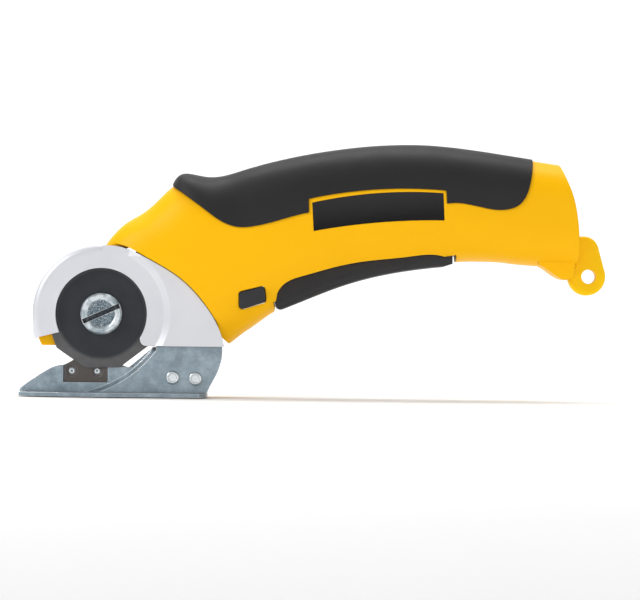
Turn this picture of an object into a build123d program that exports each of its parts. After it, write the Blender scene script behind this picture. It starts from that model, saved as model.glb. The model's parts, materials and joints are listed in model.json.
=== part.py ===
from build123d import *
import os
from math import atan2, copysign, cos, pi, radians, sin, sqrt

# Cordless rotary cutter. X runs from the blade to the tail, Z is up from the sole,
# Y is the width of the tool; the blade and its cover are on the -Y side.

# ---- cutting head
AXIS_Z = 36.5
BLADE_RADIUS = 25.0
BLADE_SIDES = 10
BLADE_TURN = -70.4
BLADE_FLAT_RADIUS = 19.8
BLADE_EDGE_THICKNESS = 0.25
BLADE_BORE_RADIUS = 4.0
BLADE_NEAR_Y = -12.6
BLADE_FAR_Y = -11.4
SCREW_HEAD_RADIUS = 9.1
SCREW_HEAD_NEAR_Y = -15.9
SCREW_SLOT_WIDTH = 2.1
SCREW_SLOT_TURN = 24.0
SCREW_SLOT_DEPTH = 2.6
SCREW_SHANK_RADIUS = 2.5
FLANGE_RADIUS = 8.5

# ---- head cover
RING_OUTER_RADIUS = 30.2
RING_INNER_RADIUS = 20.2
RING_FACE_Y = -15.2
COVER_FACE_Y = -17.0
COVER_WALL = 1.8
RAMP_FOOT_RADIUS = 27.8
RAMP_TOP_RADIUS = 30.6
RAMP_END_ANGLE = 66.0
CROWN_ANGLE = 89.0
HEAD_FACE_Y = -10.4
COVER_SEAT_Y = -14.9
BLADE_ROOM_RADIUS = 31.6
HEAD_BACK_Y = 17.0
ROOT_FAR_Y = 14.0
HEAD_BOTTOM_Z = 22.3
HEAD_RADIUS = 30.0
COVER_GAP = 0.3

# ---- shoe
SHEET = 1.8
SHOE_FRONT_Y = -11.3
SHOE_STEP = 2.0
STEP_CENTRE = (-18.9, 52.8)
STEP_RADIUS = 52.2
STEP_RUN = 1.8
FOOT_NEAR_Y = -20.5
FOOT_FAR_Y = 2.5
RIVET_RADIUS = 2.0
RIVET_HEAD_RADIUS = 2.95
RIVET_DISH_RADIUS = 1.9
SHOE_LAP_Z = 23.2
RIVET_PLACES = [(31.7, 8.6), (41.8, 8.2)]
SHOE_SCREW_PLACES = [(33.5, 27.5), (38.0, 33.0)]
EDGE_SCREW_PLACES = [(-13.0, 11.1), (-1.8, 11.1)]

# ---- body
WALL = 2.6
GRIP_DEPTH = 1.2
GRIP_PROUD = 0.7
PLATE_DEPTH = 0.8
SECTION_POINTS = 20
SECTION_POWER = 2.7

# ---- drive line, measured from the blade axis along the sloping motor axis
DRIVE_ANGLE = 26.6
DRIVE_Y = 2.0
BEVEL_MODULE = 0.7
BEVEL_GEAR_TEETH = 32
BEVEL_PINION_TEETH = 8
BEVEL_FACE = 3.5
PLANET_MODULE = 0.4
SUN_TEETH = 9
PLANET_TEETH = 27
RING_TEETH = 63
PLANET_COUNT = 3
CARRIER_START = 35.5
PLANET_START = 38.1
PLANET_END = 44.1
GEARBOX_START = 32.5
GEARBOX_END = 46.0
GEARBOX_RADIUS = 14.0
GEARBOX_NOSE_RADIUS = 12.9
GEARBOX_NOSE_END = 39.8
MOTOR_RADIUS = 13.85
MOTOR_LENGTH = 38.0
SPINDLE_RADIUS = 4.0
BUSHING_RADIUS = 6.5
RUNNING_GAP = 0.04

# ---- power and controls
CELL_RADIUS = 9.25
CELL_LENGTH = 65.0
CELL_START_X = 108.0
CELL_Z = 87.0
PIVOT = (150.0, 66.0)
PIN_RADIUS = 1.5
PIN_HALF_LENGTH = 14.2
NOSE_RADIUS = 77.4
NOSE_GAP = 0.5
TRIGGER_HALF_WIDTH = 12.4
BUTTON_GAP = 0.25
LOOP_LOBES = [(215.0, 55.3, 8.4), (213.6, 66.5, 6.8)]
LOOP_HOLE = (215.8, 55.3)
LOOP_GAP = 0.15
SOCKET_Z = 80.0
PLUNGER_X = 91.0
PLUNGER_FOOT_Z = 58.6
SWITCH_Z = 64.8
SPRING_X = 103.6
SPRING_FOOT_Z = 60.8
SPRING_TOP_Z = 71.0
BOSS_RADIUS = 3.3
HOUSING_SCREWS = [(44.5, 34.0), (27.0, 80.5), (60.0, 90.0), (100.5, 84.0), (140.0, 74.0), (189.0, 69.0),
                  (184.0, 93.0)]
COVER_SCREWS = [(20.5, 57.5), (46.8, 28.2)]

# Side-view stations of the body: top X and Z, bottom X and Z, half width.
BODY_STATIONS = [
    (1.0, 66.0, 45.0, 23.6, 15.5),
    (7.6, 75.2, 56.0, 23.7, 18.0),
    (17.4, 81.6, 60.5, 27.0, 19.2),
    (25.1, 88.6, 64.9, 30.2, 19.9),
    (32.5, 94.6, 69.6, 33.6, 20.3),
    (40.0, 96.6, 74.9, 37.4, 20.5),
    (53.1, 97.8, 81.0, 40.6, 20.7),
    (70.0, 102.9, 89.5, 43.6, 20.9),
    (88.0, 107.2, 99.5, 47.4, 21.0),
    (105.8, 110.2, 112.0, 51.8, 21.0),
    (123.0, 112.0, 125.0, 55.2, 21.0),
    (141.0, 112.4, 140.0, 58.2, 20.8),
    (158.0, 111.1, 156.0, 61.0, 20.3),
    (175.0, 108.8, 172.5, 61.3, 19.6),
    (190.5, 106.5, 188.0, 60.0, 18.9),
    (204.0, 104.6, 203.0, 59.2, 18.4),
    (218.0, 102.8, 218.0, 58.6, 17.9),
]
# The rubber rises into a finger stop at its front end.
GRIP_FRONT_STATIONS = [
    (24.0, 87.6, 64.3, 30.2, 20.1),
    (31.0, 94.6, 69.0, 33.6, 20.8),
    (38.4, 98.6, 73.4, 36.8, 21.0),
    (46.0, 97.3, 77.4, 39.2, 20.9),
]
LONGEST_STATION_GAP = 12.0

DRIVE_COS = cos(radians(DRIVE_ANGLE))
DRIVE_SIN = sin(radians(DRIVE_ANGLE))


# ---- helpers

def side_plane(y):
    """Drawing plane of the side view at one depth."""
    return Plane((0, y, 0), x_dir=(1, 0, 0), z_dir=(0, -1, 0))


def slab(outline, y_near, y_far):
    """Side-view outline made solid between two depths."""
    return extrude(side_plane(y_far) * outline, amount=y_far - y_near, dir=(0, -1, 0))


def bar(x, z, radius, y_near, y_far):
    """Round bar across the tool between two depths."""
    return slab(Pos(x, z) * Circle(radius), y_near, y_far)


def block(x_from, x_to, y_from, y_to, z_from, z_to):
    """Rectangular block between two corners."""
    centre = Pos((x_from + x_to) / 2, (y_from + y_to) / 2, (z_from + z_to) / 2)
    return centre * Box(x_to - x_from, y_to - y_from, z_to - z_from)


def drive_plane(distance):
    """Plane square to the motor axis, facing the tail."""
    origin = (distance * DRIVE_COS, DRIVE_Y, AXIS_Z + distance * DRIVE_SIN)
    return Plane(origin, x_dir=(0, 1, 0), z_dir=(DRIVE_COS, 0, DRIVE_SIN))


def drive_bar(radius, start, end):
    """Round bar along the motor axis."""
    return extrude(drive_plane(start) * Circle(radius), amount=end - start)


def points_outline(points):
    """Closed straight-sided outline."""
    return make_face(Polyline(*points, close=True))


def axle_turned(profile):
    """Half profile of (radius, depth) points turned round the blade axis."""
    face = Plane((0, 0, AXIS_Z), x_dir=(1, 0, 0), z_dir=(0, 0, 1)) * points_outline(profile)
    return revolve(face, axis=Axis((0, 0, AXIS_Z), (0, 1, 0)))


def with_midpoints(stations):
    """Stations with a smooth in-between one added wherever the gap is long."""
    full = [stations[0]]
    last = len(stations) - 1
    for index in range(1, last + 1):
        before = stations[max(index - 2, 0)]
        start = stations[index - 1]
        end = stations[index]
        after = stations[min(index + 1, last)]
        if end[0] - start[0] > LONGEST_STATION_GAP:
            full.append([(9 * (b + c) - a - d) / 16 for a, b, c, d in zip(before, start, end, after)])
        full.append(end)
    return full


def section_wire(station, inset):
    """Closed rounded section standing between a top and a bottom point."""
    top_x, top_z, bottom_x, bottom_z, half_width = station
    run = bottom_x - top_x
    rise = top_z - bottom_z
    length = sqrt(run * run + rise * rise)
    centre_x = (top_x + bottom_x) / 2
    centre_z = (top_z + bottom_z) / 2
    half_height = length / 2 - inset
    width = half_width - inset
    points = []
    for step in range(SECTION_POINTS):
        angle = 2 * pi * step / SECTION_POINTS
        across = width * copysign(abs(cos(angle)) ** (2 / SECTION_POWER), cos(angle))
        up = half_height * copysign(abs(sin(angle)) ** (2 / SECTION_POWER), sin(angle))
        points.append((centre_x - up * run / length, across, centre_z + up * rise / length))
    return Wire([Edge.make_spline(points, periodic=True)])


def lofted(stations, inset):
    """Smooth solid through a list of stations, shrunk by an inset."""
    return Solid.make_loft([section_wire(station, inset) for station in with_midpoints(stations)])


# ---- side-view outlines

def cover_boundary():
    """Curve where the cover meets the body, from the crown to the bottom edge."""
    return Spline((1.1, 66.7), (12.6, 64.7), (21.4, 60.4), (33.5, 53.3),
                  (45.8, 40.8), (51.2, 32.1), (54.4, 22.5))


def cover_outline():
    """Open ring round the blade joined to the rear plate."""
    outer = ThreePointArc((-28.6, 25.6), (-21.35, 57.86), (1.1, 66.7))
    inner = ThreePointArc((-18.4, 28.2), (0.0, AXIS_Z + RING_INNER_RADIUS), (17.2, 25.9))
    foot = Line((54.4, 22.5), (21.0, 22.5))
    tip = Spline((21.0, 22.5), (18.2, 23.2), (17.2, 25.9))
    left_end = Line((-18.4, 28.2), (-28.6, 25.6))
    return make_face([outer, cover_boundary(), foot, tip, inner, left_end])


def cover_full_outline(grow):
    """Cover outline without its opening, for the skirt and the body pocket."""
    radius = RING_OUTER_RADIUS + grow
    diagonal = radius * sqrt(0.5)
    outer = ThreePointArc((-radius, AXIS_Z), (-diagonal, AXIS_Z + diagonal), (1.1, 66.7 + grow))
    right = Spline((1.1, 66.7 + grow), (12.6 + grow * 0.3, 64.7 + grow), (21.4 + grow * 0.6, 60.4 + grow),
                   (33.5 + grow * 0.7, 53.3 + grow * 0.7), (45.8 + grow, 40.8 + grow * 0.6),
                   (51.2 + grow, 32.1), (54.4 + grow, 22.5))
    closing = Polyline((54.4 + grow, 22.5), (54.4 + grow, 15.0), (-radius, 15.0), (-radius, AXIS_Z))
    return make_face([outer, right, *closing.edges()])


def grip_outline():
    """Rubber grip with a notch round the nameplate; open past the top of the body."""
    front = Spline((30.6, 93.4), (39.2, 87.4), (46.3, 82.2), (53.4, 77.4), (60.4, 75.3), (67.5, 75.8),
                   (81.5, 79.5), (91.1, 82.0))
    notch_side = Line((91.1, 82.0), (90.9, 88.0))
    notch_top = ThreePointArc((90.9, 88.0), (119.0, 92.3), (151.4, 92.3))
    notch_end = Line((151.4, 92.3), (151.8, 86.5))
    rear = Spline((151.8, 86.5), (165.9, 85.4), (176.5, 84.1), (183.5, 86.4), (187.8, 93.9), (189.9, 106.3))
    closing = Polyline((189.9, 106.3), (190.2, 125.0), (27.0, 125.0), (30.6, 93.4))
    return make_face([front, notch_side, notch_top, notch_end, rear, *closing.edges()])


def plate_outline(grow):
    """Blank nameplate, slightly arched."""
    top = ThreePointArc((92.6 - grow, 86.2 + grow), (119.0, 90.5 + grow), (150.0 + grow, 91.0 + grow))
    right = Line((150.0 + grow, 91.0 + grow), (150.6 + grow, 79.2 - grow))
    bottom = ThreePointArc((150.6 + grow, 79.2 - grow), (120.0, 77.8 - grow), (93.4 - grow, 73.9 - grow))
    left = Line((93.4 - grow, 73.9 - grow), (92.6 - grow, 86.2 + grow))
    return make_face([top, right, bottom, left])


def trigger_bay(lift):
    """Space below the body edge where the trigger hangs."""
    edge = Spline((77.6 - lift, 46.6 + lift), (81.8, 51.4 + lift), (88.8, 54.1 + lift),
                  (102.9, 58.2 + lift), (116.9, 61.0 + lift), (134.5, 63.0 + lift),
                  (151.6, 63.1 + lift), (155.2 + lift, 61.0 + lift))
    closing = Polyline((155.2 + lift, 61.0 + lift), (155.2 + lift, 25.0), (73.6 - lift, 25.0),
                       (77.6 - lift, 46.6 + lift))
    return make_face([edge, *closing.edges()])


def arc_point(radius, z):
    """Point in front of the trigger pivot at a radius from it and a height."""
    return (PIVOT[0] - sqrt(radius * radius - (PIVOT[1] - z) ** 2), z)


def trigger_outline():
    """Long paddle with its pivot lug at the rear."""
    under = Spline((79.6, 39.1), (92.4, 44.4), (106.5, 49.9), (120.5, 54.0), (134.6, 56.8), (151.0, 58.9))
    heel = Polyline((151.0, 58.9), (154.8, 60.2), (154.8, 67.2), (151.8, 70.0), (147.5, 70.0))
    inside = Spline((147.5, 70.0), (134.5, 66.4), (116.9, 64.4), (102.9, 61.6), (88.8, 57.6), (80.4, 52.6))
    nose_top = arc_point(NOSE_RADIUS, 50.5)
    nose_low = arc_point(NOSE_RADIUS, 41.2)
    face = ThreePointArc(nose_top, arc_point(NOSE_RADIUS, 46.0), nose_low)
    lip = Spline(nose_low, (77.4, 39.6), (79.6, 39.1))
    return make_face([under, *heel.edges(), inside, Line((80.4, 52.6), nose_top), face, lip])


def tail_outline(inset):
    """Side view limit of the body at the tail end."""
    end = Spline((201.0 - inset, 125.0), (202.3 - inset, 103.8), (207.0 - inset, 92.0), (210.0 - inset, 76.0),
                 (210.4 - inset, 64.0), (209.0 - inset, 52.0), (208.0 - inset, 40.0))
    closing = Polyline((208.0 - inset, 40.0), (208.0 - inset, -20.0), (-90.0, -20.0), (-90.0, 125.0),
                       (201.0 - inset, 125.0))
    return make_face([end, *closing.edges()])


def tail_lip_outline():
    """Small lip under the tail that holds the hanging loop."""
    edge = Spline((193.0, 60.2), (197.9, 57.3), (202.5, 54.4), (206.8, 53.8))
    closing = Polyline((206.8, 53.8), (209.0, 56.0), (209.0, 66.0), (193.0, 66.0), (193.0, 60.2))
    return make_face([edge, *closing.edges()])


# ---- body shells

def cradle_ribs():
    """Ribs that hold the gearbox, the motor, the cell and the trigger spring."""
    ribs = []
    for distance, radius in [(40.0, GEARBOX_RADIUS), (54.0, MOTOR_RADIUS), (75.0, MOTOR_RADIUS)]:
        rib = extrude(drive_plane(distance) * Rectangle(60, 90), amount=1.8)
        ribs.append(rib - drive_bar(radius + 0.1, distance - 1, distance + 3))
    for x in (116.0, 160.0):
        rib = block(x, x + 1.8, -30, 30, CELL_Z - 12, 125)
        hole = Plane((x - 1, 0, CELL_Z), x_dir=(0, 1, 0), z_dir=(1, 0, 0)) * Circle(CELL_RADIUS + 0.1)
        ribs.append(rib - extrude(hole, amount=4))
    ribs.append(block(SPRING_X - 3.2, SPRING_X + 3.2, -30, 30, SPRING_TOP_Z, SPRING_TOP_Z + 2))
    return ribs


def head_cavity():
    """Room for the bevel gears inside the head."""
    near = HEAD_FACE_Y + 2.4
    far = HEAD_BACK_Y - 2.0
    passage = points_outline([(0, 60.5), (16, 70), (48, 34), (50, 25), (0, 25)])
    room = bar(0, AXIS_Z, 26.0, near, far) + slab(passage, near, far)
    floor = block(-60, 60, -30, 30, 0, HEAD_BOTTOM_Z + 2.0)
    near_boss = bar(0, AXIS_Z, BUSHING_RADIUS + 2.2, HEAD_FACE_Y, -3.2)
    far_boss = bar(0, AXIS_Z, BUSHING_RADIUS + 2.2, 11.9, HEAD_BACK_Y)
    screw_bosses = [bar(x, z, BOSS_RADIUS, -30, 30) for x, z in HOUSING_SCREWS[:2]]
    return room - [floor, near_boss, far_boss, *screw_bosses]


def body_cavity():
    """Hollow of the neck and the grip with its ribs and screw bosses left standing."""
    room = lofted(BODY_STATIONS, WALL) & slab(tail_outline(WALL), -30, 30)
    floor = block(-60, 55.5, -30, 30, 0, HEAD_BOTTOM_Z + 2.0)
    behind_cover = slab(cover_full_outline(WALL), -30, COVER_SEAT_Y + 2.4)
    behind_blade = bar(0, AXIS_Z, BLADE_ROOM_RADIUS + 2.0, -30, HEAD_FACE_Y + 2.4)
    behind_tab = slab(tab_bay_outline(2.0), -30, HEAD_FACE_Y + 2.4)
    cover_bosses = [bar(x, z, 4.0, -30, HEAD_FACE_Y + 2.4) for x, z in COVER_SCREWS]
    over_trigger = slab(trigger_bay(2.4), -30, 30)
    loop_root = block(196.0, 215.0, -30, 30, 40, 71)
    screw_bosses = [bar(x, z, BOSS_RADIUS, -30, 30) for x, z in HOUSING_SCREWS]
    pivot_boss = bar(*PIVOT, 4.6, -30, -TRIGGER_HALF_WIDTH - 0.4)
    far_pivot_boss = bar(*PIVOT, 4.6, TRIGGER_HALF_WIDTH + 0.4, 30)
    solid = [floor, behind_cover, behind_blade, behind_tab, *cover_bosses, over_trigger, loop_root,
             pivot_boss, far_pivot_boss, *screw_bosses]
    return room - [*solid, *cradle_ribs()]


def tab_bay_outline(grow):
    """Recess in the blade-side shell for the mounting tab of the shoe."""
    return points_outline([(24.0, 15.0), (24.0, 37.8 + grow), (42.8 + grow, 37.8 + grow),
                           (42.8 + grow, 23.5 + grow), (54.8 + grow, 23.5 + grow), (54.8 + grow, 15.0)])


def body_blank():
    """Outside shape of the body, before it is hollowed and split."""
    head = bar(0, AXIS_Z, HEAD_RADIUS, HEAD_FACE_Y, HEAD_BACK_Y)
    head = fillet(head.edges().filter_by(GeomType.CIRCLE).sort_by(Axis.Y)[-1], 5.0)
    head -= block(-60, 60, -30, 30, 0, HEAD_BOTTOM_Z)
    root = points_outline([(0, 64), (12, 73), (51, 33), (51, HEAD_BOTTOM_Z), (0, HEAD_BOTTOM_Z)])
    head += slab(root, HEAD_FACE_Y, ROOT_FAR_Y)
    body = head + (Part() + lofted(BODY_STATIONS, 0) & slab(tail_outline(0), -30, 30))
    body += slab(tail_lip_outline(), -11, 11)
    body -= block(-60, 54.4, -30, 30, 0, HEAD_BOTTOM_Z)
    body -= slab(cover_full_outline(COVER_GAP), -30, COVER_SEAT_Y)
    body -= bar(0, AXIS_Z, BLADE_ROOM_RADIUS, -30, HEAD_FACE_Y)
    body -= slab(tab_bay_outline(0), -30, SHOE_FRONT_Y - SHOE_STEP + SHEET)
    return body - [bar(x, z, 2.9, -30, HEAD_FACE_Y) for x, z in COVER_SCREWS]


def grip_recess():
    """Shallow recess all round the upper body that the rubber fills."""
    return slab(grip_outline(), -40, 40) - lofted(BODY_STATIONS, GRIP_DEPTH)


def plate_recess():
    """Shallow recess for a nameplate on each side."""
    return slab(plate_outline(0.1), -40, 40) - lofted(BODY_STATIONS, PLATE_DEPTH)


def trigger_slot():
    """Opening the trigger moves through."""
    radius = NOSE_RADIUS + NOSE_GAP
    low = arc_point(radius, 30)
    high = arc_point(radius, 57.0)
    front = ThreePointArc(low, arc_point(radius, 46), high)
    rest = Polyline(high, (79.0, 62), (100, 68), (140, 72.2), (156.4, 73), (156.4, 50), low)
    outline = make_face([front, *rest.edges()])
    return slab(outline, -TRIGGER_HALF_WIDTH - 0.4, TRIGGER_HALF_WIDTH + 0.4)


def button_outline(grow):
    """Slanted rounded outline of the lock-off button."""
    corners = [(60.7 - grow, 46.6 + grow), (71.9 + grow, 49.6 + grow), (72.6 + grow, 42.6 - grow),
               (61.0 - grow, 38.8 - grow)]
    return fillet(points_outline(corners).vertices(), 1.4 + grow)


def housing_screw_holes():
    """Threaded and through holes for the housing screws."""
    holes = []
    for x, z in HOUSING_SCREWS:
        holes.append(bar(x, z, 1.25, -9, 1))
        holes.append(bar(x, z, 1.6, 0, 30))
        holes.append(bar(x, z, 2.9, 11, 30))
    return holes


def shell_blank():
    """Whole hollow body with every opening, before it is split."""
    small = [bar(*PIVOT, PIN_RADIUS, -PIN_HALF_LENGTH - 0.1, PIN_HALF_LENGTH + 0.1),
             bar(0, AXIS_Z, BUSHING_RADIUS, HEAD_FACE_Y - 1, 15.6)]
    small += [bar(x, z, 1.2, COVER_SEAT_Y - 1, HEAD_FACE_Y + 9) for x, z in COVER_SCREWS]
    small += [bar(x, z, 1.2, HEAD_FACE_Y - 3, -4.5) for x, z in SHOE_SCREW_PLACES]
    small += [extrude(Plane((190, 0, SOCKET_Z), z_dir=(1, 0, 0)) * Circle(4.0), amount=40)]
    body = body_blank()
    button_hole = slab(button_outline(BUTTON_GAP), -30, 30)
    for opening in (slab(trigger_bay(0), -30, 30), head_cavity(), body_cavity(), trigger_slot(),
                    grip_recess(), plate_recess(), button_hole, loop_pocket(), housing_screw_holes(), small):
        body -= opening
    return body


def half(body, side):
    """One side of the body: -1 is the blade side, +1 the far side."""
    return body & block(-100, 260, min(0, 40 * side), max(0, 40 * side), -50, 150)


def grip(side):
    """Rubber overmould on one side."""
    stations = GRIP_FRONT_STATIONS + BODY_STATIONS[6:]
    rubber = lofted(stations, -GRIP_PROUD) & half(slab(grip_outline(), -40, 40), side)
    screw_holes = [bar(x, z, 2.9, 5, 40) for x, z in (HOUSING_SCREWS[2], HOUSING_SCREWS[6])]
    return rubber - [lofted(BODY_STATIONS, GRIP_DEPTH), *screw_holes]


def nameplate(side):
    """Thin blank plate let into one side of the grip."""
    plate = lofted(BODY_STATIONS, 0.05) & half(slab(plate_outline(0), -40, 40), side)
    return plate - lofted(BODY_STATIONS, PLATE_DEPTH)


def loop_root_outline():
    """Root of the hanging loop inside the tail."""
    return points_outline([(200.0, 58.0), (200.0, 70.5), (212.0, 73.0), (212.0, 50.0), (206.5, 56.5)])


def loop_tab_outline():
    """Tapered tab round the two lobes of the hanging loop."""
    circles = []
    for x, z, radius in LOOP_LOBES:
        circles += (Pos(x, z) * Circle(radius)).edges()
    return make_hull(circles)


def loop_pocket():
    """Room in both shells for the hanging loop."""
    outline = offset(loop_tab_outline(), LOOP_GAP) + offset(loop_root_outline(), LOOP_GAP)
    return slab(outline, -3.5 - LOOP_GAP, 3.5 + LOOP_GAP)


def hang_loop():
    """Separate loop trapped between the shells, rounded off all round."""
    tab = slab(loop_tab_outline(), -3.5, 3.5)
    rims = tab.edges().filter_by(lambda edge: abs(edge.center().Y) > 3)
    loop = fillet(rims, 1.5) + slab(loop_root_outline(), -3.5, 3.5)
    return loop - bar(*LOOP_HOLE, 3.2, -5, 5)


# ---- head

def raised_plate():
    """Rear face of the cover, standing up from the ring on a ramp that runs out at the top."""
    near = COVER_FACE_Y
    ring = RING_FACE_Y
    profile = [(RAMP_FOOT_RADIUS, ring), (RAMP_TOP_RADIUS, near), (90, near), (90, near + COVER_WALL),
               (RAMP_TOP_RADIUS, near + COVER_WALL), (RAMP_FOOT_RADIUS, ring + COVER_WALL)]
    ramp_cos = cos(radians(RAMP_END_ANGLE))
    ramp_sin = sin(radians(RAMP_END_ANGLE))
    across = Plane((0, 0, AXIS_Z), x_dir=(ramp_sin, 0, -ramp_cos), z_dir=(ramp_cos, 0, ramp_sin))
    above = across * points_outline([(-60, ring), (0, ring), (5, near), (5, near - 9), (-60, near - 9)])
    return axle_turned(profile) - extrude(above, amount=60)


def rim_rounding():
    """Material removed to round the outer edge of the ring, from its left end up to the crown."""
    ring = RING_FACE_Y
    arc = ThreePointArc((27.2, ring), (29.6, ring + 0.75), (31.0, ring + 2.8))
    closing = Polyline((31.0, ring + 2.8), (35.0, ring + 2.8), (35.0, ring - 4), (27.2, ring - 4),
                       (27.2, ring))
    plane = Plane((0, 0, AXIS_Z), x_dir=(1, 0, 0), z_dir=(0, 0, 1))
    turned = revolve(plane * make_face([arc, *closing.edges()]), axis=Axis((0, 0, AXIS_Z), (0, 1, 0)))
    left_side = Pos(0, AXIS_Z) * Rot(0, 0, CROWN_ANGLE) * Pos(0, 50) * Rectangle(100, 100)
    return turned & slab(left_side, -40, 0)


def head_cover():
    """Cast guard: recessed ring in front of the blade rim, raised plate behind, skirt to the housing."""
    ring = RING_FACE_Y
    flat = bar(0, AXIS_Z, RAMP_TOP_RADIUS + 0.5, ring, ring + COVER_WALL)
    face = (flat + raised_plate()) & slab(cover_outline(), -30, 0)
    inside = slab(cover_full_outline(-COVER_WALL), -30, 0)
    skirt = slab(cover_full_outline(0), ring + 0.4, HEAD_FACE_Y) - inside
    deep_part = skirt & bar(0, AXIS_Z, BLADE_ROOM_RADIUS - 0.3, -30, 0)
    shallow_part = skirt & block(-60, 80, -30, COVER_SEAT_Y, 0, 90)
    skirt = deep_part + shallow_part
    open_foot = block(-60, 80, -30, 0, 0, 25.4)
    bosses = [bar(x, z, 2.6, ring + 1, HEAD_FACE_Y) for x, z in COVER_SCREWS]
    blade_room = bar(0, AXIS_Z, BLADE_RADIUS + 0.6, ring + COVER_WALL, HEAD_FACE_Y)
    holes = [bar(x, z, 1.2, ring + 1.5, HEAD_FACE_Y + 1) for x, z in COVER_SCREWS]
    cover = face + (skirt - open_foot) + bosses - [blade_room, *holes, rim_rounding()]
    return cover.solids().sort_by(SortBy.VOLUME)[-1]


def decagon(radius):
    """Ten-sided blade outline in the side view."""
    corners = []
    for step in range(BLADE_SIDES):
        angle = radians(BLADE_TURN + 360 / BLADE_SIDES * step)
        corners.append((radius * cos(angle), AXIS_Z + radius * sin(angle)))
    return points_outline(corners)


def rotary_blade():
    """Ten-sided cutting disc, ground to a bevel on its near side."""
    disc = slab(decagon(BLADE_RADIUS), BLADE_NEAR_Y, BLADE_FAR_Y)
    edge = BLADE_FAR_Y - BLADE_EDGE_THICKNESS
    grind = axle_turned([(0, BLADE_NEAR_Y), (BLADE_FLAT_RADIUS, BLADE_NEAR_Y), (BLADE_RADIUS + 0.2, edge),
                         (BLADE_RADIUS + 0.2, BLADE_FAR_Y), (0, BLADE_FAR_Y)])
    return (disc & grind) - bar(0, AXIS_Z, BLADE_BORE_RADIUS, -20, 0)


def blade_screw():
    """Slotted cheese-head screw that clamps the blade."""
    near = SCREW_HEAD_NEAR_Y
    profile = [(0, near + 0.4), (6.0, near + 0.4), (6.8, near), (8.2, near),
               (SCREW_HEAD_RADIUS, near + 0.9), (SCREW_HEAD_RADIUS, BLADE_NEAR_Y),
               (SCREW_SHANK_RADIUS, BLADE_NEAR_Y), (SCREW_SHANK_RADIUS, -1.0), (0, -1.0)]
    slot_face = Rectangle(2 * SCREW_HEAD_RADIUS - 0.6, SCREW_SLOT_WIDTH)
    slot = Pos(0, AXIS_Z) * Rot(0, 0, SCREW_SLOT_TURN) * slot_face
    return axle_turned(profile) - slab(slot, near - 1, near + SCREW_SLOT_DEPTH)


def spindle():
    """Blade spindle with its clamping flange and a flat for the gear."""
    pilot = BLADE_BORE_RADIUS - 0.03
    profile = [(SCREW_SHANK_RADIUS, BLADE_NEAR_Y + 0.3), (pilot, BLADE_NEAR_Y + 0.3),
               (pilot, BLADE_FAR_Y), (FLANGE_RADIUS, BLADE_FAR_Y), (FLANGE_RADIUS, -10.65),
               (SPINDLE_RADIUS, -10.65), (SPINDLE_RADIUS, 15.2), (0, 15.2), (0, 0),
               (SCREW_SHANK_RADIUS, -0.8)]
    return axle_turned(profile)


def bushing(y_near, y_far):
    """Bronze sleeve pressed into the housing round the spindle."""
    outer = bar(0, AXIS_Z, BUSHING_RADIUS, y_near, y_far)
    return outer - bar(0, AXIS_Z, SPINDLE_RADIUS + RUNNING_GAP, -30, 30)


# ---- shoe

def stepped_sheet(near, length):
    """Steel sheet pressed with a curved step; the tail side stands further out on the blade side."""
    inner = STEP_RADIUS
    outer = STEP_RADIUS + STEP_RUN
    far = near + SHEET
    profile = [(0, near), (inner, near), (outer, near - SHOE_STEP), (length, near - SHOE_STEP),
               (length, far - SHOE_STEP), (outer, far - SHOE_STEP), (inner, far), (0, far)]
    centre = (STEP_CENTRE[0], 0, STEP_CENTRE[1])
    face = Plane(centre, x_dir=(1, 0, 0), z_dir=(0, 0, 1)) * points_outline(profile)
    return revolve(face, axis=Axis(centre, (0, 1, 0)))


def shoe_tail_edge():
    """Rear edge of the web, curving down to the foot."""
    return Spline((53.5, 22.0), (53.2, 16.7), (51.0, 10.1), (47.6, 3.5), (46.7, 0.9))


def shoe_web_outline():
    """Near plate web: pointed nose, notch for the fixed blade and raised tail."""
    nose = Spline((-36.0, 3.2), (-33.4, 5.2), (-26.8, 9.7), (-19.8, 13.3), (-17.7, 13.7))
    notch = Polyline((-17.7, 13.7), (-16.8, 13.7), (-16.8, 6.1), (2.9, 6.1), (2.9, 13.0), (14.2, 13.0))
    step = ThreePointArc((14.2, 13.0), (18.7, 17.2), (22.6, 22.0))
    top = Line((22.6, 22.0), (53.5, 22.0))
    sole = Polyline((46.7, 0.9), (46.7, 0.0), (-36.0, 0.0), (-36.0, 3.2))
    return make_face([nose, *notch.edges(), step, top, shoe_tail_edge(), *sole.edges()])


def foot(y_far_front, y_far_rear, y_outer):
    """Flat sole flange, pointed at the nose."""
    y_mid = (y_far_front + y_outer) / 2
    outline = Polyline((-36.0, y_far_front), (-36.0, y_mid), (-18.0, y_outer), (43.7, y_outer),
                       (46.7, y_outer - copysign(3.0, y_outer - y_far_front)), (46.7, y_far_rear), close=True)
    return extrude(make_face(outline), amount=SHEET)


def shoe_plate():
    """Near plate of the shoe with its half of the sole."""
    web = stepped_sheet(SHOE_FRONT_Y, 110) & slab(shoe_web_outline(), -40, 0)
    tab_corners = [(28.0, 20.0), (28.0, 37.0), (42.0, 37.0), (42.0, 20.0)]
    tab_outline = fillet(points_outline(tab_corners).vertices(), 1.5)
    lap_outline = points_outline([(24.3, 21.0), (24.3, SHOE_LAP_Z), (53.5, SHOE_LAP_Z), (53.5, 21.0)])
    for outline in (tab_outline, lap_outline):
        web += slab(outline, SHOE_FRONT_Y - SHOE_STEP, SHOE_FRONT_Y - SHOE_STEP + SHEET)
    flange = foot(SHOE_FRONT_Y + 1.0, SHOE_FRONT_Y - SHOE_STEP + 1.0, FOOT_NEAR_Y)
    flange -= stepped_sheet(SHOE_FRONT_Y + SHEET, 110)
    holes = [bar(x, z, RIVET_RADIUS, -40, 0) for x, z in RIVET_PLACES]
    tab_holes = [bar(x, z, 1.7, -40, 0) for x, z in SHOE_SCREW_PLACES]
    plate = web + flange - [*holes, *tab_holes]
    return plate.solids().sort_by(SortBy.VOLUME)[-1]


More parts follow.
